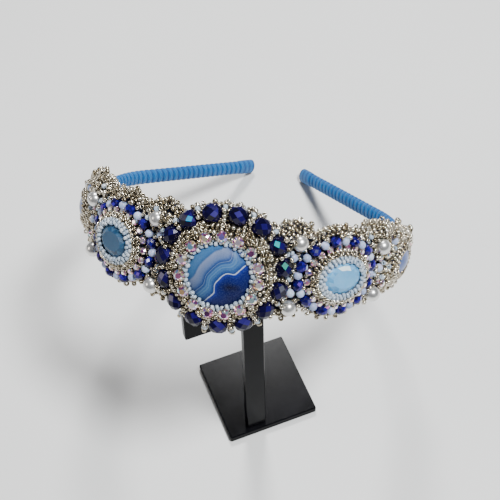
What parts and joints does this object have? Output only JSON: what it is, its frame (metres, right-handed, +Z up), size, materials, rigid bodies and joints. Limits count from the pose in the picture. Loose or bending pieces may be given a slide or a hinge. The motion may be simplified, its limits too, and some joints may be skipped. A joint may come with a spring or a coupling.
{
  "type": "beaded headband on display stand",
  "caption": "Bead-embroidered folk headband with a banded blue cabochon rosette and cord-wrapped hoop, leaning on a small black acrylic T stand.",
  "frame": {"origin": "centre of the stand foot's underside, on the table", "axes": "+Z up; -Y is the way the rosette faces; +X to the viewer's right; the stand itself is turned 29.6 degrees about Z"},
  "size_m": [0.1169, 0.1459, 0.1265],
  "materials": {
    "acrylic_black": "gloss black acrylic sheet",
    "cord_blue": "sky-blue cord wrapped side by side",
    "leather_navy": "matt navy",
    "agate_blue": "polished banded stone",
    "opal_glass": "cut, milky pale blue",
    "lavender_glass": "smooth, milky lavender blue",
    "seed_silver": "warm silver seed beads",
    "crystal_ab": "cut crystal with a rainbow coat in silver cups",
    "navy_glass": "fire polished navy with a green-violet coat",
    "bead_blue": "cobalt and milky light-blue beads in turn",
    "pearl_grey": "silver-grey pearl"
  },
  "bodies": {
    "root": {"stand_foot": "acrylic_black", "stand_tee": "acrylic_black", "hoop": "cord_blue", "backing": "leather_navy", "centre_cabochon": "agate_blue", "centre_bezel": "seed_silver", "centre_chatons": "crystal_ab", "navy_bead_01": "navy_glass", "navy_bead_02": "navy_glass", "navy_bead_03": "navy_glass", "navy_bead_04": "navy_glass", "navy_bead_05": "navy_glass", "navy_bead_06": "navy_glass", "navy_bead_07": "navy_glass", "navy_bead_08": "navy_glass", "navy_bead_09": "navy_glass", "navy_bead_10": "navy_glass", "navy_bead_11": "navy_glass", "navy_bead_12": "navy_glass", "navy_bead_13": "navy_glass", "navy_bead_14": "navy_glass", "navy_bead_15": "navy_glass", "pearl_upper_left": "pearl_grey", "pearl_lower_left": "pearl_grey", "pearl_upper_right": "pearl_grey", "pearl_lower_right": "pearl_grey", "pearl_far_upper_left": "pearl_grey", "pearl_far_lower_left": "pearl_grey", "pearl_far_upper_right": "pearl_grey", "pearl_far_lower_right": "pearl_grey", "side_stone_left": "opal_glass", "side_stone_right": "opal_glass", "side_bezel_left": "seed_silver", "side_bezel_right": "seed_silver", "side_bead_ring_left": "bead_blue", "side_bead_ring_right": "bead_blue", "end_stone_left": "lavender_glass", "end_stone_right": "lavender_glass", "end_bezel_left": "seed_silver", "end_bezel_right": "seed_silver"}
  },
  "joints": []
}
